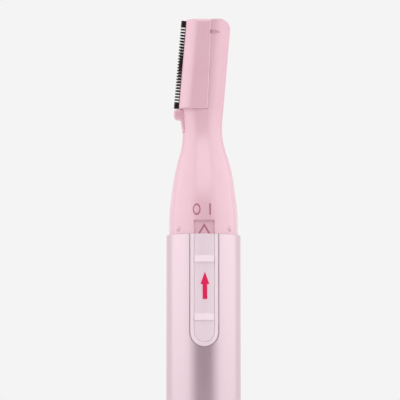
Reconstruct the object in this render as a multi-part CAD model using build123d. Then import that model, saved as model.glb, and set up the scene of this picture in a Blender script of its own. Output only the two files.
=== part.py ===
"""Pen-shaped battery trimmer with a narrow comb blade.

A round aluminium sleeve stands on its pull-off end cap and holds an AAA cell, a small motor
and a slide switch.  The head above it leans a few degrees to the right and carries a fixed
comb and a moving cutter along its left edge.  The motor's eccentric pin rocks a bell crank,
and the crank drives the cutter up and down through a push rod in the neck.

Millimetres.  +Z runs up the handle from the centre of its flat base, -Y is the side with the
switch, and -X is the blade's side.
"""

from build123d import *
from math import cos, radians, sin, sqrt, tan
import os

FAR = 12.0  # beyond every side of the head and the handle, for cutting tools

# ---- handle ---------------------------------------------------------------------------------
SLEEVE_R = 7.75  # outside radius of the aluminium sleeve
SLEEVE_WALL = 0.7
BORE_R = SLEEVE_R - SLEEVE_WALL
CAP_TOP = 8.0  # where the end cap ends and the sleeve starts
RIM_Z = 88.0  # the sleeve's upper rim
EDGE_BREAK = 0.12  # small chamfer on cut metal edges
GAP = 0.05  # assembly gap round nested parts
CHASSIS_R = BORE_R - GAP
CHASSIS_BOTTOM = 8.5
CHASSIS_TOP = RIM_Z - 6.1

# ---- AAA cell -------------------------------------------------------------------------------
CELL_R = 5.25
CELL_BODY = 43.5
CELL_NUB_R = 1.9
CELL_NUB = 1.0
CELL_Z = 11.1  # bottom of the cell on its spring
CELL_TOP = CELL_Z + CELL_BODY
NUB_TOP = CELL_TOP + CELL_NUB
BAY_R = 5.4
LABEL_T = 0.1

# ---- end cap --------------------------------------------------------------------------------
CAP_EDGE_R = 0.9
CAP_FLOOR = 1.8
CAP_SHELF_Z = 6.2  # the contact disc lies here
CAP_CUP_R = 4.4
SPIGOT_R = 6.2
SPIGOT_TOP = 13.0
SHEET = 0.25  # thickness of the contact sheet metal
SEAL_R = 6.62
SEAL_WIRE_R = 0.25
SPRING_WIRE_R = 0.3
SPRING_R = 3.9  # lower coil
SPRING_TOP_R = 2.5
SPRING_TURNS = 3.5

# ---- motor ----------------------------------------------------------------------------------
MOTOR_R = 6.0
MOTOR_FLAT = 5.0  # the can has two flats, front and back
MOTOR_Z = 59.5
MOTOR_TOP = MOTOR_Z + 15.0
CAN_WALL = 0.5
BELL_Z = 57.9
SHAFT_R = 0.5
BEARING_R = 1.6
SHAFT_TOP = 78.4
ARMATURE_R = 4.0
POLES = 3

# ---- eccentric, crank and push rod ----------------------------------------------------------
HUB_R = 2.4
HUB_Z = 75.9
HUB_TOP = 78.6
PIN_OFFSET = 0.6
PIN_R = 0.5
PIN_TOP = 82.0
PIVOT_X = 2.5
PIVOT_Z = RIM_Z + 2.0
PIVOT_R = 0.8
BOSS_R = 1.7
PIN_HALF = 3.8  # half the length of the crank's pin
CRANK_ARM = 5.0  # pivot to the round end in the rod's yoke
CRANK_HALF = 1.0  # half the crank's thickness
CRANK_END_R = 0.7
FORK_HALF = 1.85  # half the fork's opening round the eccentric pin
FORK_WALL = 0.8
FORK_LOW = 79.2
FORK_BAR = 82.9  # underside of the bar that joins the prongs
RUN = 0.02  # running clearance on a radius
ROD_HALF = 0.7  # half the rod's thickness

# ---- switch ---------------------------------------------------------------------------------
SLOT_HALF = 3.06  # half the width of the slot in the sleeve
SLOT_BOTTOM = RIM_Z - 23.3
SLIDER_HALF = 2.06
SLIDER_BOTTOM = RIM_Z - 22.25
TRAVEL = 2.8
TRAY_R = 7.58
TRAY_EDGE = 0.16
SLIDER_FACE_R = 7.38
RIDGE_R = 7.7  # the ridges rise to this radius at their lower edge
RIDGE_H = 1.35
RIDGE_ROOT_Y = -6.8
RIDGES_Z = (RIM_Z - 17.8, RIM_Z - 5.85)  # lower edge of each finger ridge
TRAY_FLOOR_Y = -6.55
TRAY_BACK_Y = -6.15
CONTACT_Y = -5.45  # the fixed contacts lie on this face
STEM_HALF = 0.8
STEM_Z = 68.5
STEM_H = 4.5

# ---- head -----------------------------------------------------------------------------------
HEAD_R = 7.2
SEAT_H = 3.0  # straight band that a protective cap slides on
HEAD_WALL = 1.2
HOLLOW_H = 25.0  # the neck is hollow up to here, over the rim
HEAD_SPIGOT = 6.0
HEAD_BORE_R = 5.6
HEAD_H = 45.5
HEAD_TOP = RIM_Z + HEAD_H
LEAN = 4.85  # degrees that the blade block leans to the right
BLOCK_H = 26.5  # where the block starts, over the rim
BLOCK_Z = RIM_Z + BLOCK_H
BLOCK_X = -0.45
BLOCK_LEFT = 4.4
BLOCK_RIGHT = 4.65
BLOCK_THICK = 2.8
# Level sections of the flared neck, evenly spaced from the seat up to the block: centre, half
# widths to the left and the right, half thickness.
STATIONS = (
    (0.0, HEAD_R, HEAD_R, HEAD_R),
    (0.0, 7.08, 7.08, 7.06),
    (0.0, 6.82, 6.82, 6.72),
    (0.0, 6.5, 6.5, 6.25),
    (0.0, 6.12, 6.12, 5.65),
    (-0.02, 5.6, 5.6, 4.95),
    (-0.05, 4.92, 4.92, 4.25),
    (-0.13, 4.36, 4.36, 3.65),
    (-0.23, 4.16, 4.16, 3.25),
    (-0.33, 4.24, 4.3, 2.98),
    (BLOCK_X, BLOCK_LEFT, BLOCK_RIGHT, BLOCK_THICK),
)
# The covers bulge more than the neck below them, about an axis left of the block's.
COVER_X = BLOCK_X - 1.5
COVER_LEFT = 3.45
COVER_RIGHT = 6.5
COVER_THICK = 3.24
COVER_EDGE_R = 0.24
COVER_EDGE_X = BLOCK_X - 4.75  # left edge of the covers at their lower end, beside the comb
SEAM_LOW_X = 0.85  # seam between the covers and the spine, at the covers' lower edge
SEAM_TOP_X = 1.7
SEAM_GAP = 0.02
TOP_CORNER_R = 2.2
TOP_EDGE_R = 0.9
FOOT_TIP_X = -6.25  # the foot under the comb's lower end
FOOT_H = (24.35, 26.4)
FOOT_ROOT = (-4.42, 21.6)  # where the foot's underside runs out into the neck
FOOT_RADII = (0.5, 0.85, 0.6)
FOOT_HALF = 1.5
FOOT_EDGE_R = 0.45
RECESS_HALF = SLIDER_HALF + 0.07
RECESS_CLEAR = 0.03  # over the slider pushed up
RECESS_Y = -6.5
SIGN_DEPTH = 0.12
STROKE_W = 0.3  # line width of the signs and the chevron
SIGN_H = 2.35  # height of the ring and the bar
SIGN_Z = RIM_Z + 5.0
RING_X = -1.55
RING_HALF = 0.82
BAR_X = 1.2
CHEVRON_Z = RIM_Z + 1.8  # apex of the chevron
CHEVRON_HALF = 1.0
CHEVRON_DROP = 1.7
PIP_X = 5.35
PIP_Z = RIM_Z + 1.1
PIP_R = 0.65
PIP_SUNK = 0.96  # share of the seat's radius at which a pip is centred
NOTCH_Z = RIM_Z + 42.7
NOTCH_X = (1.3, 2.4, 3.9)  # blunt end, shoulder and point of the tapered notch
NOTCH_HALF = 0.42
NOTCH_Y = -2.35

# ---- blades: u runs across the leaning block, v along it ------------------------------------
TIP_U = -5.8  # comb tips
ROOT_U = -4.85  # bottom of the comb's slots
COMB_BACK_U = 1.0
COMB_INNER = 0.22  # inner face of each comb leaf, from the middle plane
COMB_OUTER = 0.42
COMB_LOW = -0.2
COMB_HIGH = 18.5
COMB_END = 1.35  # solid block at each end of the comb
COMB_SLOTS = 26
SLOT_W = 0.36
FIRST_SLOT = COMB_LOW + COMB_END + SLOT_W / 2
LAST_SLOT = COMB_HIGH - COMB_END - SLOT_W / 2
CUTTER_HALF = 0.15
CUTTER_TIP_U = -5.5
CUTTER_BACK_U = 0.8
CUTTER_LOW = 1.0
CUTTER_HIGH = 17.9
CUTTER_SLOTS = 25
TAB_U = (-1.4, 0.2)
TAB_LOW = -3.2
ROD_U = (-1.9, 0.7)
ROD_V = (-3.6, -0.6)


# ---- helpers --------------------------------------------------------------------------------
def box(x0, x1, y0, y1, z0, z1):
    """A block between two corners."""
    centre = Pos((x0 + x1) / 2, (y0 + y1) / 2, (z0 + z1) / 2)
    return centre * Box(x1 - x0, y1 - y0, z1 - z0)


def disc(radius, z0, z1, x=0.0, y=0.0):
    """A round bar along Z."""
    return Pos(x, y, (z0 + z1) / 2) * Cylinder(radius, z1 - z0)


def ring(outer, inner, z0, z1):
    """A round tube along Z."""
    return disc(outer, z0, z1) - disc(inner, z0 - 1, z1 + 1) if inner else disc(outer, z0, z1)


def slab(sketch, y0, y1):
    """Extrudes a sketch drawn in X and Z from y0 to y1."""
    return extrude(Plane.XZ.offset(-y1) * sketch, y1 - y0)


def cross_bar(radius, x, z, y0, y1):
    """A round bar along Y."""
    return slab(Pos(x, z) * Circle(radius), y0, y1)


def flatted(radius, flat, z0, z1):
    """A round bar with a flat at the front and the back."""
    return disc(radius, z0, z1) & box(-radius, radius, -flat, flat, z0, z1)


def slot_outline(half, bottom, top):
    """A slot with a round lower end, open at the top, in X and Z."""
    straight = Pos(0, (bottom + half + top) / 2) * Rectangle(2 * half, top - bottom - half)
    return straight + Pos(0, bottom + half) * Circle(half)


def rows(count, first, last):
    """Evenly spaced values from first to last."""
    step = (last - first) / (count - 1)
    return [first + i * step for i in range(count)]


LEAN_DIR = (sin(radians(LEAN)), 0, cos(radians(LEAN)))
BLOCK = Pos(BLOCK_X, 0, BLOCK_Z) * Rot(0, LEAN, 0)


def lean(height):
    """How far the block has moved to the right at a height over the rim."""
    return (height - BLOCK_H) * tan(radians(LEAN))


# ---- handle parts ---------------------------------------------------------------------------
def outer_sleeve():
    tube = ring(SLEEVE_R, BORE_R, CAP_TOP, RIM_Z)
    tube = chamfer(tube.edges().filter_by(GeomType.CIRCLE), EDGE_BREAK)
    return tube - slab(slot_outline(SLOT_HALF, SLOT_BOTTOM, RIM_Z + 1), -FAR, 0)


def chassis_body():
    """The moulded carrier inside the sleeve, before it is split into halves."""
    body = disc(CHASSIS_R, CHASSIS_BOTTOM, CHASSIS_TOP)
    body -= disc(SPIGOT_R + GAP, CHASSIS_BOTTOM - 1, SPIGOT_TOP + 0.3)
    body -= disc(BAY_R, CHASSIS_BOTTOM, NUB_TOP + 0.6)
    body -= flatted(MOTOR_R + GAP, MOTOR_FLAT + GAP, BELL_Z - 0.7, MOTOR_TOP + 0.1)
    body -= disc(HUB_R + 0.6, MOTOR_TOP, MOTOR_TOP + 2)
    body -= disc(5.8, MOTOR_TOP + 1.1, CHASSIS_TOP + 1)
    # Front: seat for the switch tray, then the pocket for the contacts and their channels.
    body -= slab(slot_outline(SLOT_HALF, SLOT_BOTTOM, CHASSIS_TOP + 1), -FAR, TRAY_BACK_Y)
    body -= box(-2.75, 2.75, -7, CONTACT_Y, 66.4, CHASSIS_TOP + 1)
    body -= box(-2.05, -0.35, -5.75, -3, NUB_TOP - 0.1, BELL_Z + 0.5)
    body -= box(-2.05, -0.35, -5.75, CONTACT_Y, NUB_TOP - 0.1, 67)
    body -= box(2.05, 2.75, -5.75, CONTACT_Y, BELL_Z - 0.6, 67)
    body -= box(2.05, 2.75, CONTACT_Y - 0.3, -4, BELL_Z - 0.6, MOTOR_Z - 0.4)
    # Back: channel for the negative strip, with a deeper foot beside the end cap's finger.
    body -= box(-1.1, 1.1, 5.0, 5.75, SPIGOT_TOP, MOTOR_Z - 0.4)
    body -= box(-1.1, 1.1, 5.0, 6.55, CHASSIS_BOTTOM - 1, SPIGOT_TOP + 1.2)
    return body


def chassis_front():
    return chassis_body() & box(-FAR, FAR, -FAR, 0, 0, RIM_Z)


def chassis_back():
    return chassis_body() & box(-FAR, FAR, 0, FAR, 0, RIM_Z)


def switch_tray():
    """The U-shaped bezel in the sleeve's slot, with the floor that the slider runs on."""
    tray = slab(slot_outline(SLOT_HALF - GAP, SLOT_BOTTOM + GAP, RIM_Z), -FAR, TRAY_BACK_Y)
    tray &= disc(TRAY_R, SLOT_BOTTOM, RIM_Z - GAP)
    track = slot_outline(SLIDER_HALF + GAP, SLIDER_BOTTOM - GAP, RIM_Z + 1)
    tray -= slab(track, -FAR, TRAY_FLOOR_Y)
    front = [e for e in tray.edges() if all(edge_radius(e, t) > TRAY_R - 0.05 for t in (0.1, 0.5, 0.9))]
    tray = chamfer([e for e in front if e.center().Z < RIM_Z - 0.1], TRAY_EDGE)
    stem_slot = box(-STEM_HALF - 0.1, STEM_HALF + 0.1, -7, -6, STEM_Z - 0.1, STEM_Z + STEM_H + TRAVEL + 0.1)
    return tray - stem_slot


def edge_radius(edge, share):
    """Distance from the handle's axis to a point part of the way along an edge."""
    point = edge @ share
    return sqrt(point.X**2 + point.Y**2)


# ---- contacts -------------------------------------------------------------------------------
def positive_contact():
    """Disc on the cell's nub, with a strip that rises to the switch."""
    plate = disc(3.2, NUB_TOP, NUB_TOP + SHEET)
    arm = box(-1.9, -0.5, -5.65, 0, NUB_TOP, NUB_TOP + SHEET)
    strip = box(-1.9, -0.5, -5.65, CONTACT_Y, NUB_TOP, 72.0)
    return plate + arm + strip


def motor_contact():
    """Strip from a motor terminal to the pad that the slider's bridge reaches when on."""
    foot = box(2.15, 2.65, -5.65, -3.3, BELL_Z - 0.5, BELL_Z - 0.3)
    strip = box(2.15, 2.65, -5.65, CONTACT_Y, BELL_Z - 0.5, 75.0)
    pad = box(0.5, 2.65, -5.65, CONTACT_Y, 72.5, 75.0)
    return foot + strip + pad


def negative_strip():
    """Long strip behind the cell, from the end cap's finger to the other terminal."""
    foot = box(-0.9, 0.9, 6.28, 6.48, 9.2, SPIGOT_TOP + 1.0)
    step = box(-0.9, 0.9, 5.45, 6.48, SPIGOT_TOP + 0.8, SPIGOT_TOP + 1.0)
    strip = box(-0.9, 0.9, 5.45, 5.65, SPIGOT_TOP + 0.8, BELL_Z - 0.3)
    tip = box(-0.9, 0.9, 2.9, 5.65, BELL_Z - 0.5, BELL_Z - 0.3)
    return foot + step + strip + tip


# ---- motor ----------------------------------------------------------------------------------
def motor_can():
    can = flatted(MOTOR_R, MOTOR_FLAT, MOTOR_Z, MOTOR_TOP)
    can = fillet(can.faces().sort_by(Axis.Z)[-1].edges(), 0.4)
    inside = flatted(MOTOR_R - CAN_WALL, MOTOR_FLAT - CAN_WALL, MOTOR_Z - 1, MOTOR_TOP - CAN_WALL)
    return can - inside - disc(BEARING_R, MOTOR_TOP - 1, MOTOR_TOP + 1)


def motor_end_bell():
    bell = flatted(MOTOR_R, MOTOR_FLAT, BELL_Z, MOTOR_Z)
    bell += flatted(MOTOR_R - CAN_WALL - RUN, MOTOR_FLAT - CAN_WALL - RUN, MOTOR_Z, MOTOR_Z + 0.8)
    for y0, y1 in ((-4.0, -3.2), (3.2, 4.0)):
        bell -= box(-1.0, 1.0, y0, y1, BELL_Z - 1, MOTOR_Z + 2)
    return bell - disc(SHAFT_R + RUN, BELL_Z + 0.4, MOTOR_Z + 2)


def motor_terminals():
    """Two tabs through the end bell: the front one turns aside to the motor contact."""
    front = box(-0.9, 0.9, -3.9, -3.3, BELL_Z - 0.3, MOTOR_Z + 1.6)
    front += box(-0.9, 2.6, -3.9, -3.3, BELL_Z - 0.3, BELL_Z - 0.05)
    back = box(-0.9, 0.9, 3.3, 3.9, BELL_Z - 0.3, MOTOR_Z + 1.6)
    return Compound(children=[front, back])


def motor_brushes():
    """Two flat springs from the terminals to the commutator."""
    front = box(-0.35, 0.35, -3.3, -1.45, MOTOR_Z + 1.0, MOTOR_Z + 1.5)
    return Compound(children=[front, front.mirror(Plane.XZ)])


def motor_magnets():
    """Two arc magnets at the sides of the can."""
    arc = ring(MOTOR_R - CAN_WALL - RUN, ARMATURE_R + 0.3, MOTOR_Z + 3, MOTOR_TOP - 2)
    side = arc & box(2.6, FAR, -3.6, 3.6, 0, RIM_Z)
    return Compound(children=[side, side.mirror(Plane.YZ)])


def motor_bearing():
    return ring(BEARING_R - 0.01, SHAFT_R + RUN, MOTOR_TOP - 0.9, MOTOR_TOP + 0.7)


def motor_shaft():
    return disc(SHAFT_R, BELL_Z + 0.5, SHAFT_TOP)


def armature_core():
    """A stack with three poles: round heads on narrow necks."""
    z0, z1 = MOTOR_Z + 4.5, MOTOR_TOP - 3.0
    core = disc(1.5, z0, z1)
    head = ring(ARMATURE_R, ARMATURE_R - 0.7, z0, z1) & box(0, 5, -2.7, 2.7, z0, z1)
    neck = box(1.0, ARMATURE_R - 0.3, -0.6, 0.6, z0, z1)
    for i in range(POLES):
        core += Rot(0, 0, i * 360 / POLES) * (head + neck)
    return core - disc(SHAFT_R, z0 - 1, z1 + 1)


def armature_windings():
    """A coil of wire round each pole's neck."""
    z0, z1 = MOTOR_Z + 3.9, MOTOR_TOP - 2.4
    coil = box(1.7, ARMATURE_R - 1.05, -1.35, 1.35, z0, z1)
    coil -= box(0, ARMATURE_R, -0.62, 0.62, MOTOR_Z + 4.48, MOTOR_TOP - 2.98)
    coil = fillet(coil.edges().filter_by(Axis.X).group_by(Axis.Z)[0], 0.3)
    return Compound(children=[Rot(0, 0, i * 360 / POLES) * coil for i in range(POLES)])


def commutator():
    drum = ring(1.4, SHAFT_R, MOTOR_Z + 0.85, MOTOR_Z + 2.4)
    for i in range(POLES):
        drum -= Rot(0, 0, 30 + i * 360 / POLES) * box(1.0, 2, -0.1, 0.1, 0, RIM_Z)
    return drum


def eccentric():
    hub = ring(HUB_R, SHAFT_R, HUB_Z, HUB_TOP)
    hub = fillet(hub.edges().filter_by(GeomType.CIRCLE).group_by(SortBy.RADIUS)[-1], 0.3)
    pin = disc(PIN_R, HUB_TOP - 0.2, PIN_TOP, y=-PIN_OFFSET)
    pin = fillet(pin.faces().sort_by(Axis.Z)[-1].edges(), 0.2)
    return hub + pin


# ---- switch slider --------------------------------------------------------------------------
def switch_slider():
    """Finger plate with two saw-tooth ridges, and the stem that carries the bridge behind the tray."""
    plate = slab(slot_outline(SLIDER_HALF, SLIDER_BOTTOM, RIM_Z - GAP), -FAR, TRAY_FLOOR_Y - GAP)
    slider = plate & disc(SLIDER_FACE_R, SLIDER_BOTTOM - 1, RIM_Z)
    for z in RIDGES_Z:
        ramp = Pos(0, 0, z + RIDGE_H / 2) * Cone(RIDGE_R, SLIDER_FACE_R, RIDGE_H)
        slider += ramp & box(-SLIDER_HALF, SLIDER_HALF, -FAR, RIDGE_ROOT_Y, z, z + RIDGE_H)
    slider += box(-STEM_HALF, STEM_HALF, RIDGE_ROOT_Y, -5.9, STEM_Z, STEM_Z + STEM_H)
    return slider


def bridge_contact():
    """Sheet-metal leaf on the slider's stem that joins the two fixed contacts when on."""
    leaf = box(-1.9, 1.9, -5.9, -5.7, STEM_Z + 1.0, STEM_Z + 2.2)
    rib = box(-0.5, 0.5, -5.9, -5.7, STEM_Z + 0.4, STEM_Z + 3.6)
    return leaf + rib


# ---- cell -----------------------------------------------------------------------------------
def cell_can():
    can = disc(CELL_R - LABEL_T, CELL_Z, CELL_TOP)
    can = fillet(can.edges().filter_by(GeomType.CIRCLE), 0.5)
    nub = disc(CELL_NUB_R, CELL_TOP - 0.5, NUB_TOP)
    return can + fillet(nub.faces().sort_by(Axis.Z)[-1].edges(), 0.3)


def cell_label():
    return ring(CELL_R, CELL_R - LABEL_T, CELL_Z + 0.6, CELL_TOP - 0.6)


def cell_washer():
    """The insulating ring round the cell's nub."""
    return ring(CELL_R - 0.8, CELL_NUB_R + 0.1, CELL_TOP, CELL_TOP + 0.2)


# ---- end cap --------------------------------------------------------------------------------
def end_cap():
    cap = disc(SLEEVE_R, 0, CAP_TOP)
    cap = fillet(cap.edges().filter_by(GeomType.CIRCLE).sort_by(Axis.Z)[0], CAP_EDGE_R)
    cap = chamfer(cap.edges().filter_by(GeomType.CIRCLE).sort_by(Axis.Z)[-1], EDGE_BREAK)
    cap += disc(SPIGOT_R, CAP_TOP - 1, SPIGOT_TOP)
    cap -= disc(CAP_CUP_R, CAP_FLOOR, SPIGOT_TOP + 1)
    cap -= disc(BAY_R, CAP_SHELF_Z, SPIGOT_TOP + 1)
    finger_way = box(-0.8, 0.8, 5.0, SPIGOT_R + 0.02, CAP_SHELF_Z, SPIGOT_TOP + 1)
    return cap - finger_way


def end_cap_seal():
    return Pos(0, 0, CAP_TOP + SEAL_WIRE_R) * Torus(SEAL_R, SEAL_WIRE_R)


def end_cap_contact():
    """Disc under the spring, with a finger that touches the negative strip."""
    plate = disc(BAY_R - 0.1, CAP_SHELF_Z, CAP_SHELF_Z + SHEET)
    tab = box(-0.7, 0.7, 4.5, 6.2, CAP_SHELF_Z, CAP_SHELF_Z + SHEET)
    finger = box(-0.7, 0.7, 6.0, 6.2, CAP_SHELF_Z, 11.8)
    return plate + tab + finger


def cell_spring():
    """Conical coil between the contact disc and the cell."""
    low = CAP_SHELF_Z + SHEET + SPRING_WIRE_R
    height = CELL_Z - SPRING_WIRE_R - low
    cone = Line((SPRING_R, 0), (SPRING_TOP_R, height))
    slope = (cone @ 0 - cone @ 1).X / height
    angle = -Vector(slope, 1, 0).get_angle(Vector(0, 1, 0))
    path = Helix(height / SPRING_TURNS, height, SPRING_R, cone_angle=angle)
    start = Plane(path @ 0, z_dir=path % 0)
    return Pos(0, 0, low) * sweep(start * Circle(SPRING_WIRE_R), path=path)


# ---- head housing ---------------------------------------------------------------------------
def oval(height, x, left, right, thick):
    """A level section of four quarter ellipses at a height over the rim."""
    halves = (right, left, left, right)
    arcs = [EllipticalCenterArc((x, 0), half, thick, 90 * i, arc_size=90) for i, half in enumerate(halves)]
    return Pos(0, 0, RIM_Z + height) * make_face(Wire(arcs))


def neck(inset=0.0, first=0):
    """The flared neck from one of its stations upwards, drawn in all round by an inset."""
    heights = rows(len(STATIONS), SEAT_H, BLOCK_H)[first:]
    sections = [
        oval(height, x, left - inset, right - inset, thick - inset)
        for height, (x, left, right, thick) in zip(heights, STATIONS[first:])
    ]
    return loft(sections)


def leaning(section):
    """Extrudes a level section of the block up along the lean, past the head's top."""
    return extrude(section, (HEAD_H - BLOCK_H + 1) / cos(radians(LEAN)), dir=LEAN_DIR)


def top_trim():
    """Rounds off the head's top, seen from the front and from the side."""
    edge_x = BLOCK_X + BLOCK_RIGHT + 0.05
    low_z = BLOCK_Z - 3
    low, high = (edge_x + lean(BLOCK_H - 3), low_z), (edge_x + lean(HEAD_H), HEAD_TOP)
    front = make_face(Polyline((-FAR, low_z), low, high, (-FAR, HEAD_TOP), close=True))
    corner = front.vertices().sort_by_distance((*high, 0))[0]
    front = fillet(corner, TOP_CORNER_R)
    outline = RectangleRounded(2 * COVER_THICK + 0.04, HEAD_TOP - low_z, TOP_EDGE_R)
    sides = extrude(Plane.YZ.offset(-FAR) * Pos(0, (low_z + HEAD_TOP) / 2) * outline, 2 * FAR)
    return slab(front, -FAR, FAR) & sides


def seam_outline(side):
    """Front view of the block left (-1) or right (1) of the seam."""
    z0, z1 = BLOCK_Z, HEAD_TOP + 1
    gap = side * SEAM_GAP / 2
    low, high = (SEAM_LOW_X + gap, z0), (SEAM_TOP_X + gap, z1)
    far = FAR * side
    return make_face(Polyline(low, high, (far, z1), (far, z0), close=True))


def foot():
    """The rounded foot that stands out under the comb and runs down into the neck."""
    low, high = RIM_Z + FOOT_H[0], RIM_Z + FOOT_H[1]
    root_x, root_z = FOOT_ROOT
    corners = (
        (-2, high), (FOOT_TIP_X, high), (FOOT_TIP_X, low),
        (root_x - 0.45, low), (root_x, RIM_Z + root_z), (-2, RIM_Z + root_z),
    )
    outline = make_face(Polyline(*corners, close=True))
    for corner, radius in zip(corners[1:4], FOOT_RADII):
        nearest = outline.vertices().sort_by_distance((*corner, 0))[0]
        outline = fillet(nearest, radius)
    block = slab(outline, -FOOT_HALF, FOOT_HALF)
    front, *_, back = block.faces().sort_by(Axis.Y)
    return fillet(front.edges() + back.edges(), FOOT_EDGE_R)


def spine():
    """The thick right-hand part of the block, with a tongue between the covers."""
    bar = leaning(oval(BLOCK_H, *STATIONS[-1])) & top_trim()
    tongue = BLOCK * box(COMB_BACK_U + GAP, FAR, GAP - COMB_OUTER, COMB_OUTER - GAP, 0, HEAD_H)
    return bar & (slab(seam_outline(1), -FAR, FAR) + tongue)


def signs():
    """A ring and a bar, the usual signs for off and on, seen from the front."""
    half = SIGN_H / 2
    ring_sign = Ellipse(half, RING_HALF) - Ellipse(half - STROKE_W, RING_HALF - STROKE_W)
    bar_sign = Pos(BAR_X, SIGN_Z) * Rectangle(STROKE_W, SIGN_H)
    return Pos(RING_X, SIGN_Z) * Rot(0, 0, 90) * ring_sign + bar_sign


def housing():
    """Both shells of the head in one piece, hollow, with every seat and recess cut."""
    low = RIM_Z - HEAD_SPIGOT
    body = neck() + disc(HEAD_R, RIM_Z, RIM_Z + SEAT_H) + disc(CHASSIS_R, low, RIM_Z)
    body += spine() + foot()
    for side in (-1, 1):
        y = -sqrt(HEAD_R**2 - PIP_X**2)
        body += Pos(side * PIP_X * PIP_SUNK, y * PIP_SUNK, PIP_Z) * Sphere(PIP_R)
    body -= disc(HEAD_BORE_R, low - 1, RIM_Z + 6.5)
    body -= neck(HEAD_WALL, 1) & box(-FAR, FAR, -FAR, FAR, 0, RIM_Z + HOLLOW_H)
    # Two bosses carry the crank's pin between the shells.
    cheek = CRANK_HALF + 0.15
    bosses = cross_bar(BOSS_R, PIVOT_X, PIVOT_Z, -FAR, FAR) - box(-FAR, FAR, -cheek, cheek, 0, HEAD_TOP)
    body += bosses & disc(HEAD_BORE_R + 0.4, 0, HEAD_TOP)
    body -= cross_bar(PIVOT_R, PIVOT_X, PIVOT_Z, -PIN_HALF - 0.2, PIN_HALF + 0.2)
    # Way for the push rod into the block, and room for the comb above it.
    body -= BLOCK * box(ROD_U[0] - 0.25, ROD_U[1] + 0.25, -ROD_HALF - 0.1, ROD_HALF + 0.1, -5, 0.3)
    body -= BLOCK * box(-FAR, COMB_BACK_U + GAP, -COMB_OUTER, COMB_OUTER, COMB_LOW - GAP, HEAD_H)
    # Front: relief for the switch tray, recess for the slider, chevron, signs and notch.
    body -= box(-SLOT_HALF, SLOT_HALF, -FAR, -6.05, low - 1, RIM_Z)
    body -= box(-RECESS_HALF, RECESS_HALF, -FAR, RECESS_Y, RIM_Z - 1, RIM_Z + TRAVEL + RECESS_CLEAR)
    body -= slab(chevron(), -FAR, RECESS_Y + SIGN_DEPTH)
    body -= slab(signs(), -FAR, -5) - neck(SIGN_DEPTH)
    return body - notch()


def chevron():
    """An upward arrowhead without a shaft, seen from the front."""
    foot_z = CHEVRON_Z - CHEVRON_DROP
    return trace(Polyline((-CHEVRON_HALF, foot_z), (0, CHEVRON_Z), (CHEVRON_HALF, foot_z)), STROKE_W)


def notch():
    """The tapered notch across the seam near the top."""
    blunt, shoulder, point = NOTCH_X
    low, high = NOTCH_Z - NOTCH_HALF, NOTCH_Z + NOTCH_HALF
    corners = ((blunt, low), (blunt, high), (shoulder, high), (point, NOTCH_Z), (shoulder, low))
    return slab(make_face(Polyline(*corners, close=True)), -FAR, NOTCH_Y)


def head_front_shell(whole):
    return whole & box(-FAR, FAR, -FAR, 0, 0, HEAD_TOP)


def head_rear_shell(whole):
    return whole & box(-FAR, FAR, 0, FAR, 0, HEAD_TOP)


def blade_cover(side):
    """The plate that clamps the comb, in front (-1) or behind (1)."""
    body = leaning(oval(BLOCK_H, COVER_X, COVER_LEFT, COVER_RIGHT, COVER_THICK))
    left = make_face(
        Polyline(
            (COVER_EDGE_X, BLOCK_Z),
            (COVER_EDGE_X + lean(HEAD_H + 1), HEAD_TOP + 1),
            (FAR, HEAD_TOP + 1),
            (FAR, BLOCK_Z),
            close=True,
        )
    )
    body &= slab(left, -FAR, FAR) & slab(seam_outline(-1), -FAR, FAR) & top_trim()
    body &= box(-FAR, FAR, COMB_OUTER, FAR, 0, HEAD_TOP)
    body = fillet([e for e in body.edges() if (e @ 0.5).Y > 0.6], COVER_EDGE_R)
    body = body.mirror(Plane.XZ) if side < 0 else body
    return body - notch()


def crank_pin():
    return cross_bar(PIVOT_R, PIVOT_X, PIVOT_Z, -PIN_HALF, PIN_HALF)


# ---- blades and drive -----------------------------------------------------------------------
def comb_blade():
    """A folded foil: two leaves joined round the cutter's edge, slotted into teeth."""
    comb = box(TIP_U, COMB_BACK_U, -COMB_OUTER, COMB_OUTER, COMB_LOW, COMB_HIGH)
    comb = fillet(comb.edges().filter_by(Axis.Z).group_by(Axis.X)[0], 0.3)
    comb -= box(TIP_U + COMB_OUTER - COMB_INNER, FAR, -COMB_INNER, COMB_INNER, -1, HEAD_H)
    for v in rows(COMB_SLOTS, FIRST_SLOT, LAST_SLOT):
        comb -= box(-FAR, ROOT_U, -1, 1, v - SLOT_W / 2, v + SLOT_W / 2)
    return BLOCK * comb


def cutter_blade():
    """The moving blade between the comb's leaves, with the tab that the rod holds."""
    cutter = box(CUTTER_TIP_U, CUTTER_BACK_U, -CUTTER_HALF, CUTTER_HALF, CUTTER_LOW, CUTTER_HIGH)
    for v in rows(CUTTER_SLOTS, FIRST_SLOT, LAST_SLOT):
        cutter -= box(-FAR, ROOT_U, -1, 1, v - SLOT_W / 2, v + SLOT_W / 2)
    cutter += box(*TAB_U, -CUTTER_HALF, CUTTER_HALF, TAB_LOW, CUTTER_LOW)
    return BLOCK * cutter


def drive_rod():
    """Push rod from the crank's round end to the cutter's tab."""
    head = BLOCK * box(*ROD_U, -ROD_HALF, ROD_HALF, *ROD_V)
    end_x = PIVOT_X - CRANK_ARM
    shoulder = RIM_Z + BLOCK_H + ROD_V[0] + 0.6
    shaft = make_face(
        Polyline(
            (end_x - 1.5, PIVOT_Z - 1.7),
            (end_x - 1.5, PIVOT_Z + 3.5),
            (-2.2, shoulder),
            (-0.2, shoulder),
            (end_x + 0.9, PIVOT_Z + 1.9),
            (end_x + 0.9, PIVOT_Z - 1.7),
            close=True,
        )
    )
    yoke = Pos(end_x + 1.4, PIVOT_Z) * Rectangle(2 * 2.25, 2 * (CRANK_END_R + RUN))
    rod = slab(shaft - yoke, -ROD_HALF, ROD_HALF) + head
    return rod - BLOCK * box(*TAB_U, -CUTTER_HALF, CUTTER_HALF, TAB_LOW, CUTTER_LOW)


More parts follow.
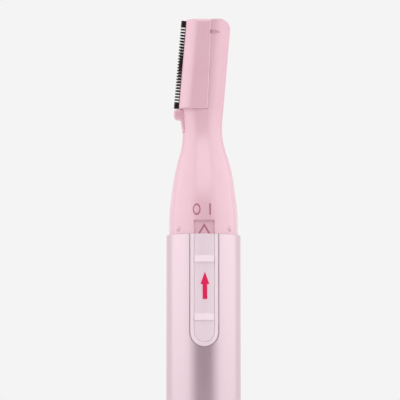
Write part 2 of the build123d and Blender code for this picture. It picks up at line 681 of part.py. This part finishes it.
def bell_crank():
    """Pivoted lever: a forked leg down to the eccentric and an arm across to the rod."""
    end_x = PIVOT_X - CRANK_ARM
    arm = Pos((PIVOT_X + end_x) / 2, PIVOT_Z) * Rectangle(CRANK_ARM, 1.0)
    shape = arm + Pos(end_x, PIVOT_Z) * Circle(CRANK_END_R) + Pos(PIVOT_X, PIVOT_Z) * Circle(1.6)
    reach = FORK_HALF + FORK_WALL
    leg = make_face(
        Polyline(
            (PIVOT_X - 1.4, PIVOT_Z),
            (PIVOT_X + 1.4, PIVOT_Z),
            (reach, FORK_BAR + 1.0),
            (reach, FORK_LOW),
            (FORK_HALF, FORK_LOW),
            (FORK_HALF, FORK_BAR),
            (-FORK_HALF, FORK_BAR),
            (-FORK_HALF, FORK_LOW),
            (-reach, FORK_LOW),
            (-reach, FORK_BAR + 1.0),
            (reach - 2.4, FORK_BAR + 1.6),
            close=True,
        )
    )
    shape = shape + leg - Pos(PIVOT_X, PIVOT_Z) * Circle(PIVOT_R + RUN)
    return slab(shape, -CRANK_HALF, CRANK_HALF)


# ---- output ---------------------------------------------------------------------------------
def nodes():
    """Every node's name and shape."""
    whole = housing()
    return {
        "outer_sleeve": outer_sleeve(),
        "chassis_front": chassis_front(),
        "chassis_back": chassis_back(),
        "switch_tray": switch_tray(),
        "positive_contact": positive_contact(),
        "motor_contact": motor_contact(),
        "negative_strip": negative_strip(),
        "motor_can": motor_can(),
        "motor_end_bell": motor_end_bell(),
        "motor_terminals": motor_terminals(),
        "motor_brushes": motor_brushes(),
        "motor_magnets": motor_magnets(),
        "motor_bearing": motor_bearing(),
        "motor_shaft": motor_shaft(),
        "armature_core": armature_core(),
        "armature_windings": armature_windings(),
        "commutator": commutator(),
        "eccentric": eccentric(),
        "switch_slider": switch_slider(),
        "bridge_contact": bridge_contact(),
        "cell_can": cell_can(),
        "cell_label": cell_label(),
        "cell_washer": cell_washer(),
        "end_cap": end_cap(),
        "end_cap_seal": end_cap_seal(),
        "end_cap_contact": end_cap_contact(),
        "cell_spring": cell_spring(),
        "head_front_shell": head_front_shell(whole),
        "head_rear_shell": head_rear_shell(whole),
        "front_blade_cover": blade_cover(-1),
        "rear_blade_cover": blade_cover(1),
        "comb_blade": comb_blade(),
        "crank_pin": crank_pin(),
        "bell_crank": bell_crank(),
        "drive_rod": drive_rod(),
        "cutter_blade": cutter_blade(),
    }


if __name__ == "__main__":
    os.makedirs("parts", exist_ok=True)
    for name, shape in nodes().items():
        export_step(shape, f"parts/{name}.step")
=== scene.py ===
"""Finishes, printed marks, studio and camera for a pen-shaped battery trimmer."""

import math

import bpy
from bpy.props import FloatProperty, FloatVectorProperty, PointerProperty
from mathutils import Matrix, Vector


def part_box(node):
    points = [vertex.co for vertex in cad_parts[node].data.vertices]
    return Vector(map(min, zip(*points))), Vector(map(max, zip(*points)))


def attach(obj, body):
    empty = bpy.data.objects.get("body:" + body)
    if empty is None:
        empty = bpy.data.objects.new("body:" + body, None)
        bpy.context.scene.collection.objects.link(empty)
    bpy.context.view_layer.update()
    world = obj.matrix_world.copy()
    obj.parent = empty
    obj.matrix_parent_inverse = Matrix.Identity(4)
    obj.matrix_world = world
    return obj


bl_info = {
    "name": "Pen trimmer",
    "version": (1, 0, 0),
    "blender": (4, 5, 0),
    "location": "View3D > Sidebar > Trimmer",
    "description": "Finishes the pieces of a pen-shaped trimmer and sets its studio",
    "category": "Object",
}

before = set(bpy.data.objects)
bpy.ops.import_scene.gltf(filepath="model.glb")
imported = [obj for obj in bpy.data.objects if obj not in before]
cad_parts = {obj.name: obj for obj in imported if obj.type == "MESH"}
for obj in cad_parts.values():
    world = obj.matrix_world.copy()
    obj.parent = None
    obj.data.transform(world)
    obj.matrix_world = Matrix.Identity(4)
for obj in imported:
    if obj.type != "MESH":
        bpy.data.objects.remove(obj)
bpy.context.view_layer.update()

MM = 0.001

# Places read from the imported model.
RIM_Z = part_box("outer_sleeve")[1][2]
SLIDER_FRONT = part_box("switch_slider")[0][1]
CELL_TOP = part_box("cell_label")[1][2]

# Marks moulded into the head, from the rim of the sleeve upwards.
SIGN_Z = RIM_Z + 5.0 * MM
SIGN_HALF = 1.175 * MM
RING_X = -1.55 * MM
RING_HALF = 0.82 * MM
BAR_X = 1.2 * MM
LINE_W = 0.3 * MM
CHEVRON_TOP = RIM_Z + 1.8 * MM
CHEVRON_HALF = 1.0 * MM
CHEVRON_DROP = 1.7 * MM

# How far the painted shade in the moulded signs reaches round those marks.
SPARE = 0.02 * MM
FOOT_SPARE = 0.1 * MM
RING_BAND = 0.2  # share of the ring's radius
CHEVRON_BAND = 0.62 * LINE_W
SIGN_FRONT = -6.2 * MM
SIGN_REACH = 2 * MM

# Printed arrow on the switch, from the rim of the sleeve downwards.
ARROW_TIP = RIM_Z - 7.95 * MM
ARROW_NECK = RIM_Z - 10.45 * MM
ARROW_FOOT = RIM_Z - 13.5 * MM
ARROW_HALF = 0.9 * MM
SHAFT_HALF = 0.46 * MM
ARROW_X = 0.12 * MM
PRINT_T = 0.03 * MM
NEAR = 0.01 * MM
ARROW_CUTS = 11  # enough for the arrow to follow the slider's curve

SENSOR = 36.0  # width of the camera's sensor, in mm
BACKGROUND = (0.905, 0.905, 0.905)
FLOOR_R = 2.6  # inside the lights
FLOOR_EDGE = 0.5
GAP_FULL, GAP_END = -0.95, -0.55  # how squarely a direction faces the camera's side
LEVEL_LOW, LEVEL_HIGH = 0.3, 0.65  # how far a direction points up or down
DARK_TINT = (1.0, 0.5, 0.8)
BRIGHT_TINT = (1.0, 0.87, 0.915)


# ---- settings a user would change -----------------------------------------------------------
def colour(name, text, value):
    """A colour setting."""
    return FloatVectorProperty(
        name=name, description=text, subtype="COLOR", size=3, min=0, max=1, default=value
    )


def length(name, text, value):
    """A length setting, in metres."""
    return FloatProperty(name=name, description=text, unit="LENGTH", default=value)


def angle(name, text, degrees):
    """An angle setting."""
    return FloatProperty(name=name, description=text, subtype="ANGLE", default=math.radians(degrees))


def power(name, text, watts):
    """A lamp's power."""
    return FloatProperty(name=name, description=text, unit="POWER", min=0, default=watts)


def strength(name, text, value):
    """A strength with no unit."""
    return FloatProperty(name=name, description=text, subtype="FACTOR", min=0, max=1, default=value)


class TrimmerColours(bpy.types.PropertyGroup):
    """Colours of the visible finishes."""

    sleeve: colour("Sleeve", "Anodised metal of the handle", (0.75, 0.65, 0.69))
    pearl: colour("Pearl", "Pearl plastic of the switch and the end cap", (0.97, 0.89, 0.92))
    head: colour("Head", "Glossy plastic of the head", (0.87, 0.61, 0.675))
    # painted shade: the darker pink in the grooves of the moulded signs
    mark: colour("Mark", "Ink in the moulded signs", (0.62, 0.25, 0.36))
    arrow: colour("Arrow", "Printed arrow on the switch", (0.84, 0.008, 0.11))
    steel: colour("Blade steel", "Dark steel of the comb and the cutter", (0.055, 0.045, 0.048))


class TrimmerStudio(bpy.types.PropertyGroup):
    """Camera and lights."""

    focal: FloatProperty(
        name="Focal length", description="Lens of the camera, in mm", unit="CAMERA", default=180.0
    )
    frame_width: length("Framed width", "Width that the camera frames at the handle's axis", 83.8 * MM)
    frame_x: length("Framed centre", "Middle of the picture, across", -0.73 * MM)
    frame_height: length("Framed height", "Middle of the picture, over the sleeve's rim", 7.5 * MM)
    tilt: angle("Camera tilt", "How far the camera looks up", 5.0)
    turn: angle("Camera turn", "How far the camera stands to the right", -1.2)
    box_distance: length("Light distance", "From the handle to the lights", 3.0)
    box_width: length("Light width", "Width of each side light", 5.9)
    box_height: length("Light height", "Height of each side light", 5.5)
    box_angle: angle("Light angle", "Turn of each side light from the camera", 72.5)
    top_width: length("Top light width", "Width of the light above the front, twice its height", 2.6)
    top_angle: angle("Top light angle", "Height of the top light over the horizon", 38.0)
    box_power: power("Light power", "Power of each side light", 43.0)
    top_power: power("Top light power", "Power of the light above the front", 8.0)
    room: strength("Room light", "Strength of the light from behind", 0.95)
    gap: strength("Front gap", "Strength of the light from the camera's side", 0.14)


# ---- shader arithmetic ----------------------------------------------------------------------
class Field:
    """A number socket whose arithmetic adds Math nodes."""

    def __init__(self, recipe, socket):
        self.recipe = recipe
        self.socket = socket

    def maths(self, operation, *values):
        return self.recipe.node("ShaderNodeMath", {"operation": operation}, dict(enumerate(values)))

    def __add__(self, other):
        return self.maths("ADD", self, other)

    def __radd__(self, other):
        return self.maths("ADD", other, self)

    def __sub__(self, other):
        return self.maths("SUBTRACT", self, other)

    def __rsub__(self, other):
        return self.maths("SUBTRACT", other, self)

    def __mul__(self, other):
        return self.maths("MULTIPLY", self, other)

    def __rmul__(self, other):
        return self.maths("MULTIPLY", other, self)

    def __truediv__(self, other):
        return self.maths("DIVIDE", self, other)

    def __rtruediv__(self, other):
        return self.maths("DIVIDE", other, self)

    def __abs__(self):
        return self.maths("ABSOLUTE", self)

    def __lt__(self, other):
        return self.maths("LESS_THAN", self, other)

    def __gt__(self, other):
        return self.maths("GREATER_THAN", self, other)

    def root(self):
        return self.maths("SQRT", self)

    def sine(self):
        return self.maths("SINE", self)


class Sheet:
    """A node tree, with one method that adds any node."""

    def __init__(self, owner):
        owner.use_nodes = True
        self.tree = owner.node_tree

    def feed(self, socket, value):
        """Links a field to a socket, or sets the socket's value."""
        if isinstance(value, Field):
            self.tree.links.new(value.socket, socket)
        elif socket.type == "RGBA" and len(value) == 3:
            socket.default_value = (*value, 1.0)
        else:
            socket.default_value = value

    def node(self, kind, settings, values, output=0):
        """Adds a node: its settings first, then its sockets' values or links."""
        made = self.tree.nodes.new(kind)
        for name, setting in settings.items():
            setattr(made, name, setting)
        for key, value in values.items():
            self.feed(made.inputs[key], value)
        return Field(self, made.outputs[output])

    def parts(self, vector):
        """A vector's three numbers."""
        outputs = self.node("ShaderNodeSeparateXYZ", {}, {0: vector}).socket.node.outputs
        return [Field(self, outputs[axis]) for axis in "XYZ"]

    def ramp(self, value, low, high):
        """A smooth rise from zero to one."""
        values = {"Value": value, "From Min": low, "From Max": high}
        return self.node("ShaderNodeMapRange", {"interpolation_type": "SMOOTHSTEP"}, values)

    def blend(self, factor, first, second):
        """A mix of two colours."""
        values = {0: factor, 6: first, 7: second}
        return self.node("ShaderNodeMix", {"data_type": "RGBA"}, values, 2)


class Recipe(Sheet):
    """A material's node tree, built round one shader."""

    def __init__(self, name, **constants):
        self.material = bpy.data.materials.new(name)
        super().__init__(self.material)
        self.shader = self.tree.nodes["Principled BSDF"]
        for socket, value in constants.items():
            self.shader.inputs[socket.replace("_", " ")].default_value = value

    def place(self):
        """The position on the piece, in metres."""
        return self.node("ShaderNodeTexCoord", {}, {}, "Object")

    def grain(self, size, stretch=(1, 1, 1), detail=2.0):
        """Noise with features of a size in metres, longer along a stretched axis."""
        squeeze = tuple(1 / s for s in stretch)
        place = self.node("ShaderNodeMapping", {"vector_type": "POINT"}, {0: self.place(), 3: squeeze})
        values = {"Vector": place, "Scale": 1 / size, "Detail": detail}
        return self.node("ShaderNodeTexNoise", {"noise_dimensions": "3D"}, values, "Fac")

    def relief(self, height, depth, strength=1.0):
        """Bumps the surface by a height field of a depth in metres."""
        values = {"Height": height, "Distance": depth, "Strength": strength}
        self.feed(self.shader.inputs["Normal"], self.node("ShaderNodeBump", {}, values))

    def paint(self, tint):
        self.feed(self.shader.inputs["Base Color"], tint)

    def polish(self, roughness):
        self.feed(self.shader.inputs["Roughness"], roughness)


def shade(tint, factor):
    """A colour made darker or lighter."""
    return tuple(min(1.0, c * factor) for c in tint)


# ---- finishes -------------------------------------------------------------------------------
def anodised_metal(tint):
    """Satin anodised aluminium: fine grain with a faint lengthwise brushing."""
    recipe = Recipe("anodised_metal", Metallic=1.0, Coat_Weight=0.5, Coat_Roughness=0.3)
    brushing = recipe.grain(0.06 * MM, stretch=(1, 1, 60), detail=3.0)
    grain = recipe.grain(0.05 * MM)
    recipe.paint(recipe.blend(0.35 * brushing + 0.3 * grain, shade(tint, 0.94), shade(tint, 1.05)))
    recipe.polish(0.30 + 0.10 * (brushing - 0.5) + 0.06 * (grain - 0.5))
    recipe.relief(brushing + 0.6 * grain, 0.0012 * MM, 0.35)
    return recipe.material


def pearl_plastic(tint):
    """Plastic with pearl pigment that glitters faintly."""
    recipe = Recipe("pearl_plastic", Metallic=0.15, Coat_Weight=0.4, Coat_Roughness=0.2)
    flakes = recipe.grain(0.045 * MM)
    clouds = recipe.grain(2.5 * MM)
    recipe.paint(recipe.blend(0.5 * flakes + 0.3 * clouds, shade(tint, 0.95), shade(tint, 1.05)))
    recipe.polish(0.34 + 0.1 * (flakes - 0.5))
    recipe.relief(flakes, 0.001 * MM, 0.3)
    return recipe.material


def sign_shade_mask(recipe):
    """One on the ring, the bar and the chevron moulded into the head's front, which get painted shade."""
    x, y, z = recipe.parts(recipe.place())
    half_w = LINE_W / 2 + SPARE
    across = (x - RING_X) / (RING_HALF - LINE_W / 2)
    along = (z - SIGN_Z) / (SIGN_HALF - LINE_W / 2)
    ring = abs((across * across + along * along).root() - 1.0) < RING_BAND
    bar = (abs(x - BAR_X) < half_w) * (abs(z - SIGN_Z) < SIGN_HALF + SPARE)
    slope = CHEVRON_DROP / CHEVRON_HALF
    rise = CHEVRON_TOP - slope * abs(x) - z
    inside = abs(rise) < CHEVRON_BAND * math.hypot(1, slope)
    chevron = inside * (z > CHEVRON_TOP - CHEVRON_DROP - FOOT_SPARE)
    front = y < SIGN_FRONT
    return (ring + bar + chevron) * front * (z < SIGN_Z + SIGN_REACH)


# Painted shade: a darker pink for the head's sides, where its surface turns away to the left and right.
SIDE_SHADE = (0.80, 0.46, 0.54)  # tint of the head near the joint of its shells
SIDE_SHADE_FROM = 0.3 * MM
SIDE_SHADE_TO = 2.6 * MM


# ink is the colour of the painted shade in the grooves of the moulded signs
def gloss_plastic(tint, ink=None):
    """Glossy moulded plastic with painted shade towards the head's sides, and painted shade in the moulded
    signs if a colour for it is given.
    """
    constants = {"Specular_IOR_Level": 0.5, "Coat_Weight": 1.0, "Coat_Roughness": 0.16, "Coat_IOR": 1.75}
    recipe = Recipe("sign_shaded_gloss_plastic" if ink else "gloss_plastic", **constants)
    clouds = recipe.grain(4.0 * MM)
    peel = recipe.grain(0.45 * MM)
    tone = recipe.blend(clouds, shade(tint, 0.97), shade(tint, 1.03))
    # painted shade: the head darkens towards its sides, near the joint of its shells
    side_shade_fade = recipe.ramp(abs(recipe.parts(recipe.place())[1]), SIDE_SHADE_FROM, SIDE_SHADE_TO)
    tone = recipe.blend(side_shade_fade, SIDE_SHADE, tone)
    # painted shade in the grooves of the ring, the bar and the chevron
    if ink:
        tone = recipe.blend(sign_shade_mask(recipe), tone, ink)
    recipe.paint(tone)
    recipe.polish(0.20 + 0.05 * (peel - 0.5))
    recipe.relief(peel, 0.004 * MM, 0.15)
    return recipe.material


def blade_steel(tint):
    """Dark hardened steel, ground along the blade."""
    recipe = Recipe("blade_steel", Metallic=1.0)
    grind = recipe.grain(0.03 * MM, stretch=(12, 1, 1), detail=3.0)
    spots = recipe.grain(0.4 * MM)
    recipe.paint(recipe.blend(0.7 * grind + 0.3 * spots, shade(tint, 0.7), shade(tint, 1.8)))
    recipe.polish(0.30 + 0.16 * (grind - 0.5))
    recipe.relief(grind, 0.0015 * MM, 0.4)
    return recipe.material


def printed_ink(tint):
    """Solid screen-printed ink."""
    recipe = Recipe("printed_ink")
    mottle = recipe.grain(0.12 * MM)
    recipe.paint(recipe.blend(mottle, shade(tint, 0.93), shade(tint, 1.05)))
    recipe.polish(0.36 + 0.1 * (mottle - 0.5))
    recipe.relief(mottle, 0.001 * MM, 0.3)
    return recipe.material


def moulded_plastic(name, tint, roughness=0.45):
    """Plain moulded plastic or rubber with a fine spark-eroded grain."""
    recipe = Recipe(name)
    grain = recipe.grain(0.08 * MM)
    clouds = recipe.grain(3.0 * MM)
    recipe.paint(recipe.blend(clouds, shade(tint, 0.95), shade(tint, 1.04)))
    recipe.polish(roughness + 0.12 * (grain - 0.5))
    recipe.relief(grain, 0.003 * MM, 0.4)
    return recipe.material


def plated_metal(name, tint, roughness=0.28):
    """Plated or drawn metal with fine lines along Z."""
    recipe = Recipe(name, Metallic=1.0)
    lines = recipe.grain(0.04 * MM, stretch=(1, 1, 30), detail=3.0)
    stain = recipe.grain(1.5 * MM)
    recipe.paint(recipe.blend(0.6 * stain + 0.4 * lines, shade(tint, 0.86), shade(tint, 1.06)))
    recipe.polish(roughness + 0.14 * (lines - 0.5) + 0.08 * (stain - 0.5))
    recipe.relief(lines, 0.001 * MM, 0.4)
    return recipe.material


def enamelled_wire():
    """Copper wire laid in close turns, with painted shade in the creases between them."""
    recipe = Recipe("enamelled_wire", Metallic=0.85)
    z = recipe.parts(recipe.place())[2]
    turns = (z * (2 * math.pi / (0.14 * MM))).sine()
    tone = recipe.grain(0.3 * MM)
    # painted shade: the copper is darker where each turn dips into the crease beside the next
    recipe.paint(recipe.blend(0.35 * turns + 0.5 * tone + 0.1, (0.28, 0.08, 0.03), (0.75, 0.30, 0.12)))
    recipe.polish(0.32 + 0.1 * (tone - 0.5))
    recipe.relief(turns, 0.03 * MM, 0.8)
    return recipe.material


# The light band and the line below it on the cell's wrap.
BAND_H = 9.0 * MM
LINE_DROP = 10.0 * MM
LINE_HALF = 0.35 * MM


def cell_wrap():
    """A plain wrap with a light band towards the cell's positive end."""
    recipe = Recipe("cell_wrap", Coat_Weight=0.5, Coat_Roughness=0.1)
    z = recipe.parts(recipe.place())[2]
    band = z > CELL_TOP - BAND_H
    line = abs(z - (CELL_TOP - LINE_DROP)) < LINE_HALF
    tone = recipe.grain(0.2 * MM)
    wrap = recipe.blend(tone, (0.035, 0.05, 0.09), (0.045, 0.06, 0.105))
    recipe.paint(recipe.blend(band + line, wrap, (0.72, 0.72, 0.70)))
    recipe.polish(0.25 + 0.06 * (tone - 0.5))
    recipe.relief(tone, 0.002 * MM, 0.2)
    return recipe.material


def studio_paper():
    """Pale paper for the floor."""
    recipe = Recipe("studio_paper", Roughness=0.9)
    fibre = recipe.grain(6.0 * MM)
    recipe.paint(recipe.blend(fibre, (0.79, 0.79, 0.79), (0.81, 0.81, 0.81)))
    return recipe.material


def dress(finish, *nodes):
    """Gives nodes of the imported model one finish."""
    for name in nodes:
        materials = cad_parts[name].data.materials
        materials.clear()
        materials.append(finish)


# ---- mesh work ------------------------------------------------------------------------------
def deselect():
    bpy.ops.object.select_all(action="DESELECT")


def new_piece(name):
    """Names the primitive that was just added."""
    piece = bpy.context.object
    piece.name = name
    piece.data.name = name
    return piece


def edit(kind):
    """Clears the selection in edit mode in a select mode, then goes back to object mode."""
    bpy.ops.object.mode_set(mode="EDIT")
    bpy.ops.mesh.select_mode(type=kind)
    bpy.ops.mesh.select_all(action="DESELECT")
    bpy.ops.object.mode_set(mode="OBJECT")


def pick_edges(piece, test):
    """Selects the edges whose middle passes a test, and stays in edit mode."""
    edit("EDGE")
    mesh = piece.data
    for edge in mesh.edges:
        ends = [mesh.vertices[i].co for i in edge.vertices]
        edge.select = test((ends[0] + ends[1]) / 2)
    bpy.ops.object.mode_set(mode="EDIT")


def apply_all(piece):
    """Applies the piece's place and its modifiers."""
    bpy.ops.object.mode_set(mode="OBJECT")
    bpy.ops.object.transform_apply(location=True, rotation=True, scale=True)
    for modifier in list(piece.modifiers):
        bpy.ops.object.modifier_apply(modifier=modifier.name)


class SettingsOperator:
    """What all the operators share."""

    bl_options = {"REGISTER", "UNDO"}

    @property
    def colours(self):
        return bpy.context.scene.trimmer_colours

    @property
    def studio(self):
        return bpy.context.scene.trimmer_studio


class TRIMMER_OT_handle(SettingsOperator, bpy.types.Operator):
    """Finish the metal sleeve of the handle"""

    bl_idname = "trimmer.handle"
    bl_label = "Handle sleeve"

    def execute(self, context):
        dress(anodised_metal(self.colours.sleeve), "outer_sleeve")
        return {"FINISHED"}


class TRIMMER_OT_switch(SettingsOperator, bpy.types.Operator):
    """Finish the switch's bezel and slider and the end cap"""

    bl_idname = "trimmer.switch"
    bl_label = "Switch and end cap"

    def execute(self, context):
        dress(pearl_plastic(self.colours.pearl), "switch_tray", "switch_slider", "end_cap")
        return {"FINISHED"}


class TRIMMER_OT_arrow(SettingsOperator, bpy.types.Operator):
    """Print the arrow on the switch's slider"""

    bl_idname = "trimmer.arrow"
    bl_label = "Printed arrow"

    def execute(self, context):
        deselect()
        middle = (ARROW_NECK + ARROW_FOOT) / 2
        in_front = SLIDER_FRONT - 1 * MM
        place = (ARROW_X, in_front, middle)
        bpy.ops.mesh.primitive_plane_add(size=1, location=place, rotation=(math.pi / 2, 0, 0))
        arrow = new_piece("switch_arrow")
        arrow.scale = (2 * SHAFT_HALF, ARROW_NECK - ARROW_FOOT, 1)
        apply_all(arrow)
        pick_edges(arrow, lambda p: p.z > ARROW_NECK - NEAR)
        bpy.ops.mesh.extrude_edges_move(TRANSFORM_OT_translate={"value": (0, 0, PRINT_T)})
        bpy.ops.transform.resize(
            value=(ARROW_HALF / SHAFT_HALF, 1, 1), center_override=(ARROW_X, in_front, ARROW_NECK)
        )
        bpy.ops.mesh.extrude_edges_move(TRANSFORM_OT_translate={"value": (0, 0, ARROW_TIP - ARROW_NECK)})
        bpy.ops.mesh.merge(type="CENTER")
        bpy.ops.mesh.select_all(action="SELECT")
        bpy.ops.mesh.subdivide(number_cuts=ARROW_CUTS)
        bpy.ops.object.mode_set(mode="OBJECT")
        lay = arrow.modifiers.new("lay", "SHRINKWRAP")
        lay.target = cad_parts["switch_slider"]
        lay.wrap_method = "PROJECT"
        lay.use_project_y = True
        lay.use_negative_direction = True
        lay.use_positive_direction = True
        lay.offset = PRINT_T
        body = arrow.modifiers.new("body", "SOLIDIFY")
        body.thickness = 2 * PRINT_T
        body.offset = 0
        apply_all(arrow)
        if min(vertex.co.y for vertex in arrow.data.vertices) < in_front + NEAR:
            raise RuntimeError("the arrow did not reach the slider's face")
        arrow.data.materials.append(printed_ink(self.colours.arrow))
        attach(arrow, "switch")
        return {"FINISHED"}


class TRIMMER_OT_head(SettingsOperator, bpy.types.Operator):
    """Finish the head's shells and the blade covers"""

    bl_idname = "trimmer.head"
    bl_label = "Head"

    def execute(self, context):
        dress(gloss_plastic(self.colours.head, self.colours.mark), "head_front_shell")
        dress(gloss_plastic(self.colours.head), "head_rear_shell", "front_blade_cover", "rear_blade_cover")
        return {"FINISHED"}


class TRIMMER_OT_blades(SettingsOperator, bpy.types.Operator):
    """Finish the comb and the cutter"""

    bl_idname = "trimmer.blades"
    bl_label = "Blades"

    def execute(self, context):
        dress(blade_steel(self.colours.steel), "comb_blade", "cutter_blade")
        return {"FINISHED"}


class TRIMMER_OT_inside(SettingsOperator, bpy.types.Operator):
    """Finish the carrier, the drive, the motor, the contacts, the cell and the seal"""

    bl_idname = "trimmer.inside"
    bl_label = "Inner parts"

    def execute(self, context):
        white = moulded_plastic("natural_plastic", (0.78, 0.77, 0.73))
        dress(white, "chassis_front", "chassis_back", "drive_rod", "bell_crank", "eccentric", "cell_washer")
        dress(moulded_plastic("black_plastic", (0.02, 0.02, 0.022)), "motor_end_bell")
        dress(moulded_plastic("ferrite", (0.035, 0.035, 0.037), 0.6), "motor_magnets")
        dress(moulded_plastic("seal_rubber", (0.02, 0.02, 0.02), 0.7), "end_cap_seal")
        bright = plated_metal("bright_steel", (0.56, 0.56, 0.57))
        dress(bright, "motor_can", "motor_shaft", "armature_core", "cell_can", "cell_spring", "crank_pin")
        brass = plated_metal("contact_brass", (0.78, 0.58, 0.26), 0.24)
        dress(brass, "positive_contact", "motor_contact", "bridge_contact", "end_cap_contact")
        dress(brass, "negative_strip", "motor_terminals", "motor_brushes", "motor_bearing", "commutator")
        dress(enamelled_wire(), "armature_windings")
        dress(cell_wrap(), "cell_label")
        return {"FINISHED"}


class TRIMMER_OT_stage(SettingsOperator, bpy.types.Operator):
    """Lay the floor and set the lights, the room and the camera"""

    bl_idname = "trimmer.stage"
    bl_label = "Studio"

    def execute(self, context):
        self.lay_paper()
        self.hang_lights()
        self.light_room()
        self.aim_camera()
        return {"FINISHED"}

    def lay_paper(self):
        deselect()
        bpy.ops.mesh.primitive_circle_add(vertices=96, radius=FLOOR_R, fill_type="NGON", location=(0, 0, 0))
        paper = new_piece("studio_floor")
        edit("FACE")
        bpy.ops.object.mode_set(mode="EDIT")
        bpy.ops.mesh.select_all(action="SELECT")
        bpy.ops.mesh.inset(thickness=FLOOR_EDGE)
        bpy.ops.object.mode_set(mode="OBJECT")
        paper.data.materials.append(studio_paper())

    def hang_lights(self):
        studio = self.studio
        size = (studio.box_width, studio.box_height)
        self.hang("side_light_left", -studio.box_angle, 0, size, studio.box_power)
        self.hang("side_light_right", studio.box_angle, 0, size, studio.box_power)
        top_size = (studio.top_width, studio.top_width / 2)
        self.hang("top_light", 0, studio.top_angle, top_size, studio.top_power)

    def hang(self, name, turn, rise, size, power):
        """Hangs a soft light round the head, turned and raised from the camera's side."""
        reach = self.studio.box_distance
        flat = reach * math.cos(rise)
        place = (math.sin(turn) * flat, -math.cos(turn) * flat, RIM_Z + reach * math.sin(rise))
        bpy.ops.object.light_add(type="AREA", location=place, rotation=(math.pi / 2 - rise, 0, turn))
        lamp = bpy.context.object
        lamp.name = name
        lamp.data.shape = "RECTANGLE"
        lamp.data.size, lamp.data.size_y = size
        lamp.data.energy = power
        lamp.visible_camera = False

    def light_room(self):
        """A pale room, darker at eye level on the camera's side."""
        world = bpy.data.worlds.new("room")
        bpy.context.scene.world = world
        room = Sheet(world)
        toward = room.parts(room.node("ShaderNodeTexCoord", {}, {}, "Generated"))
        aside = room.ramp(toward[1], GAP_FULL, GAP_END)
        aloft = room.ramp(abs(toward[2]), LEVEL_LOW, LEVEL_HIGH)
        dark = shade(DARK_TINT, self.studio.gap)
        bright = shade(BRIGHT_TINT, self.studio.room)
        lit = room.blend(aside.maths("MAXIMUM", aside, aloft), dark, bright)
        seen = room.node("ShaderNodeLightPath", {}, {}, "Is Camera Ray")
        room.feed(room.tree.nodes["Background"].inputs["Color"], room.blend(seen, lit, BACKGROUND))

    def aim_camera(self):
        studio = self.studio
        distance = studio.frame_width * studio.focal / SENSOR
        flat = distance * math.cos(studio.tilt)
        across, ahead = math.cos(studio.turn), math.sin(studio.turn)
        x = studio.frame_x * across + flat * ahead
        y = studio.frame_x * ahead - flat * across
        z = RIM_Z + studio.frame_height - distance * math.sin(studio.tilt)
        turns = (math.pi / 2 + studio.tilt, 0, studio.turn)
        bpy.ops.object.camera_add(location=(x, y, z), rotation=turns)
        camera = bpy.context.object
        camera.data.lens = studio.focal
        camera.data.sensor_width = SENSOR
        camera.data.clip_start = 0.01
        camera.data.clip_end = 20
        bpy.context.scene.camera = camera
        bpy.context.scene.view_settings.view_transform = "Standard"


class TRIMMER_PT_panel(bpy.types.Panel):
    """Lists the trimmer's operators and settings"""

    bl_label = "Pen trimmer"
    bl_idname = "TRIMMER_PT_panel"
    bl_space_type = "VIEW_3D"
    bl_region_type = "UI"
    bl_category = "Trimmer"

    def draw(self, context):
        for operator in OPERATORS:
            self.layout.operator(operator.bl_idname)
        for group in (context.scene.trimmer_colours, context.scene.trimmer_studio):
            for name in group.__annotations__:
                self.layout.prop(group, name)


OPERATORS = (
    TRIMMER_OT_handle,
    TRIMMER_OT_switch,
    TRIMMER_OT_arrow,
    TRIMMER_OT_head,
    TRIMMER_OT_blades,
    TRIMMER_OT_inside,
    TRIMMER_OT_stage,
)
CLASSES = (TrimmerColours, TrimmerStudio, *OPERATORS, TRIMMER_PT_panel)


def register():
    for cls in CLASSES:
        bpy.utils.register_class(cls)
    bpy.types.Scene.trimmer_colours = PointerProperty(type=TrimmerColours)
    bpy.types.Scene.trimmer_studio = PointerProperty(type=TrimmerStudio)


def unregister():
    del bpy.types.Scene.trimmer_studio
    del bpy.types.Scene.trimmer_colours
    for cls in reversed(CLASSES):
        bpy.utils.unregister_class(cls)


def main():
    """Registers the add-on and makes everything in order."""
    register()
    for operator in OPERATORS:
        group, name = operator.bl_idname.split(".")
        getattr(getattr(bpy.ops, group), name)()


if __name__ == "__main__":
    main()
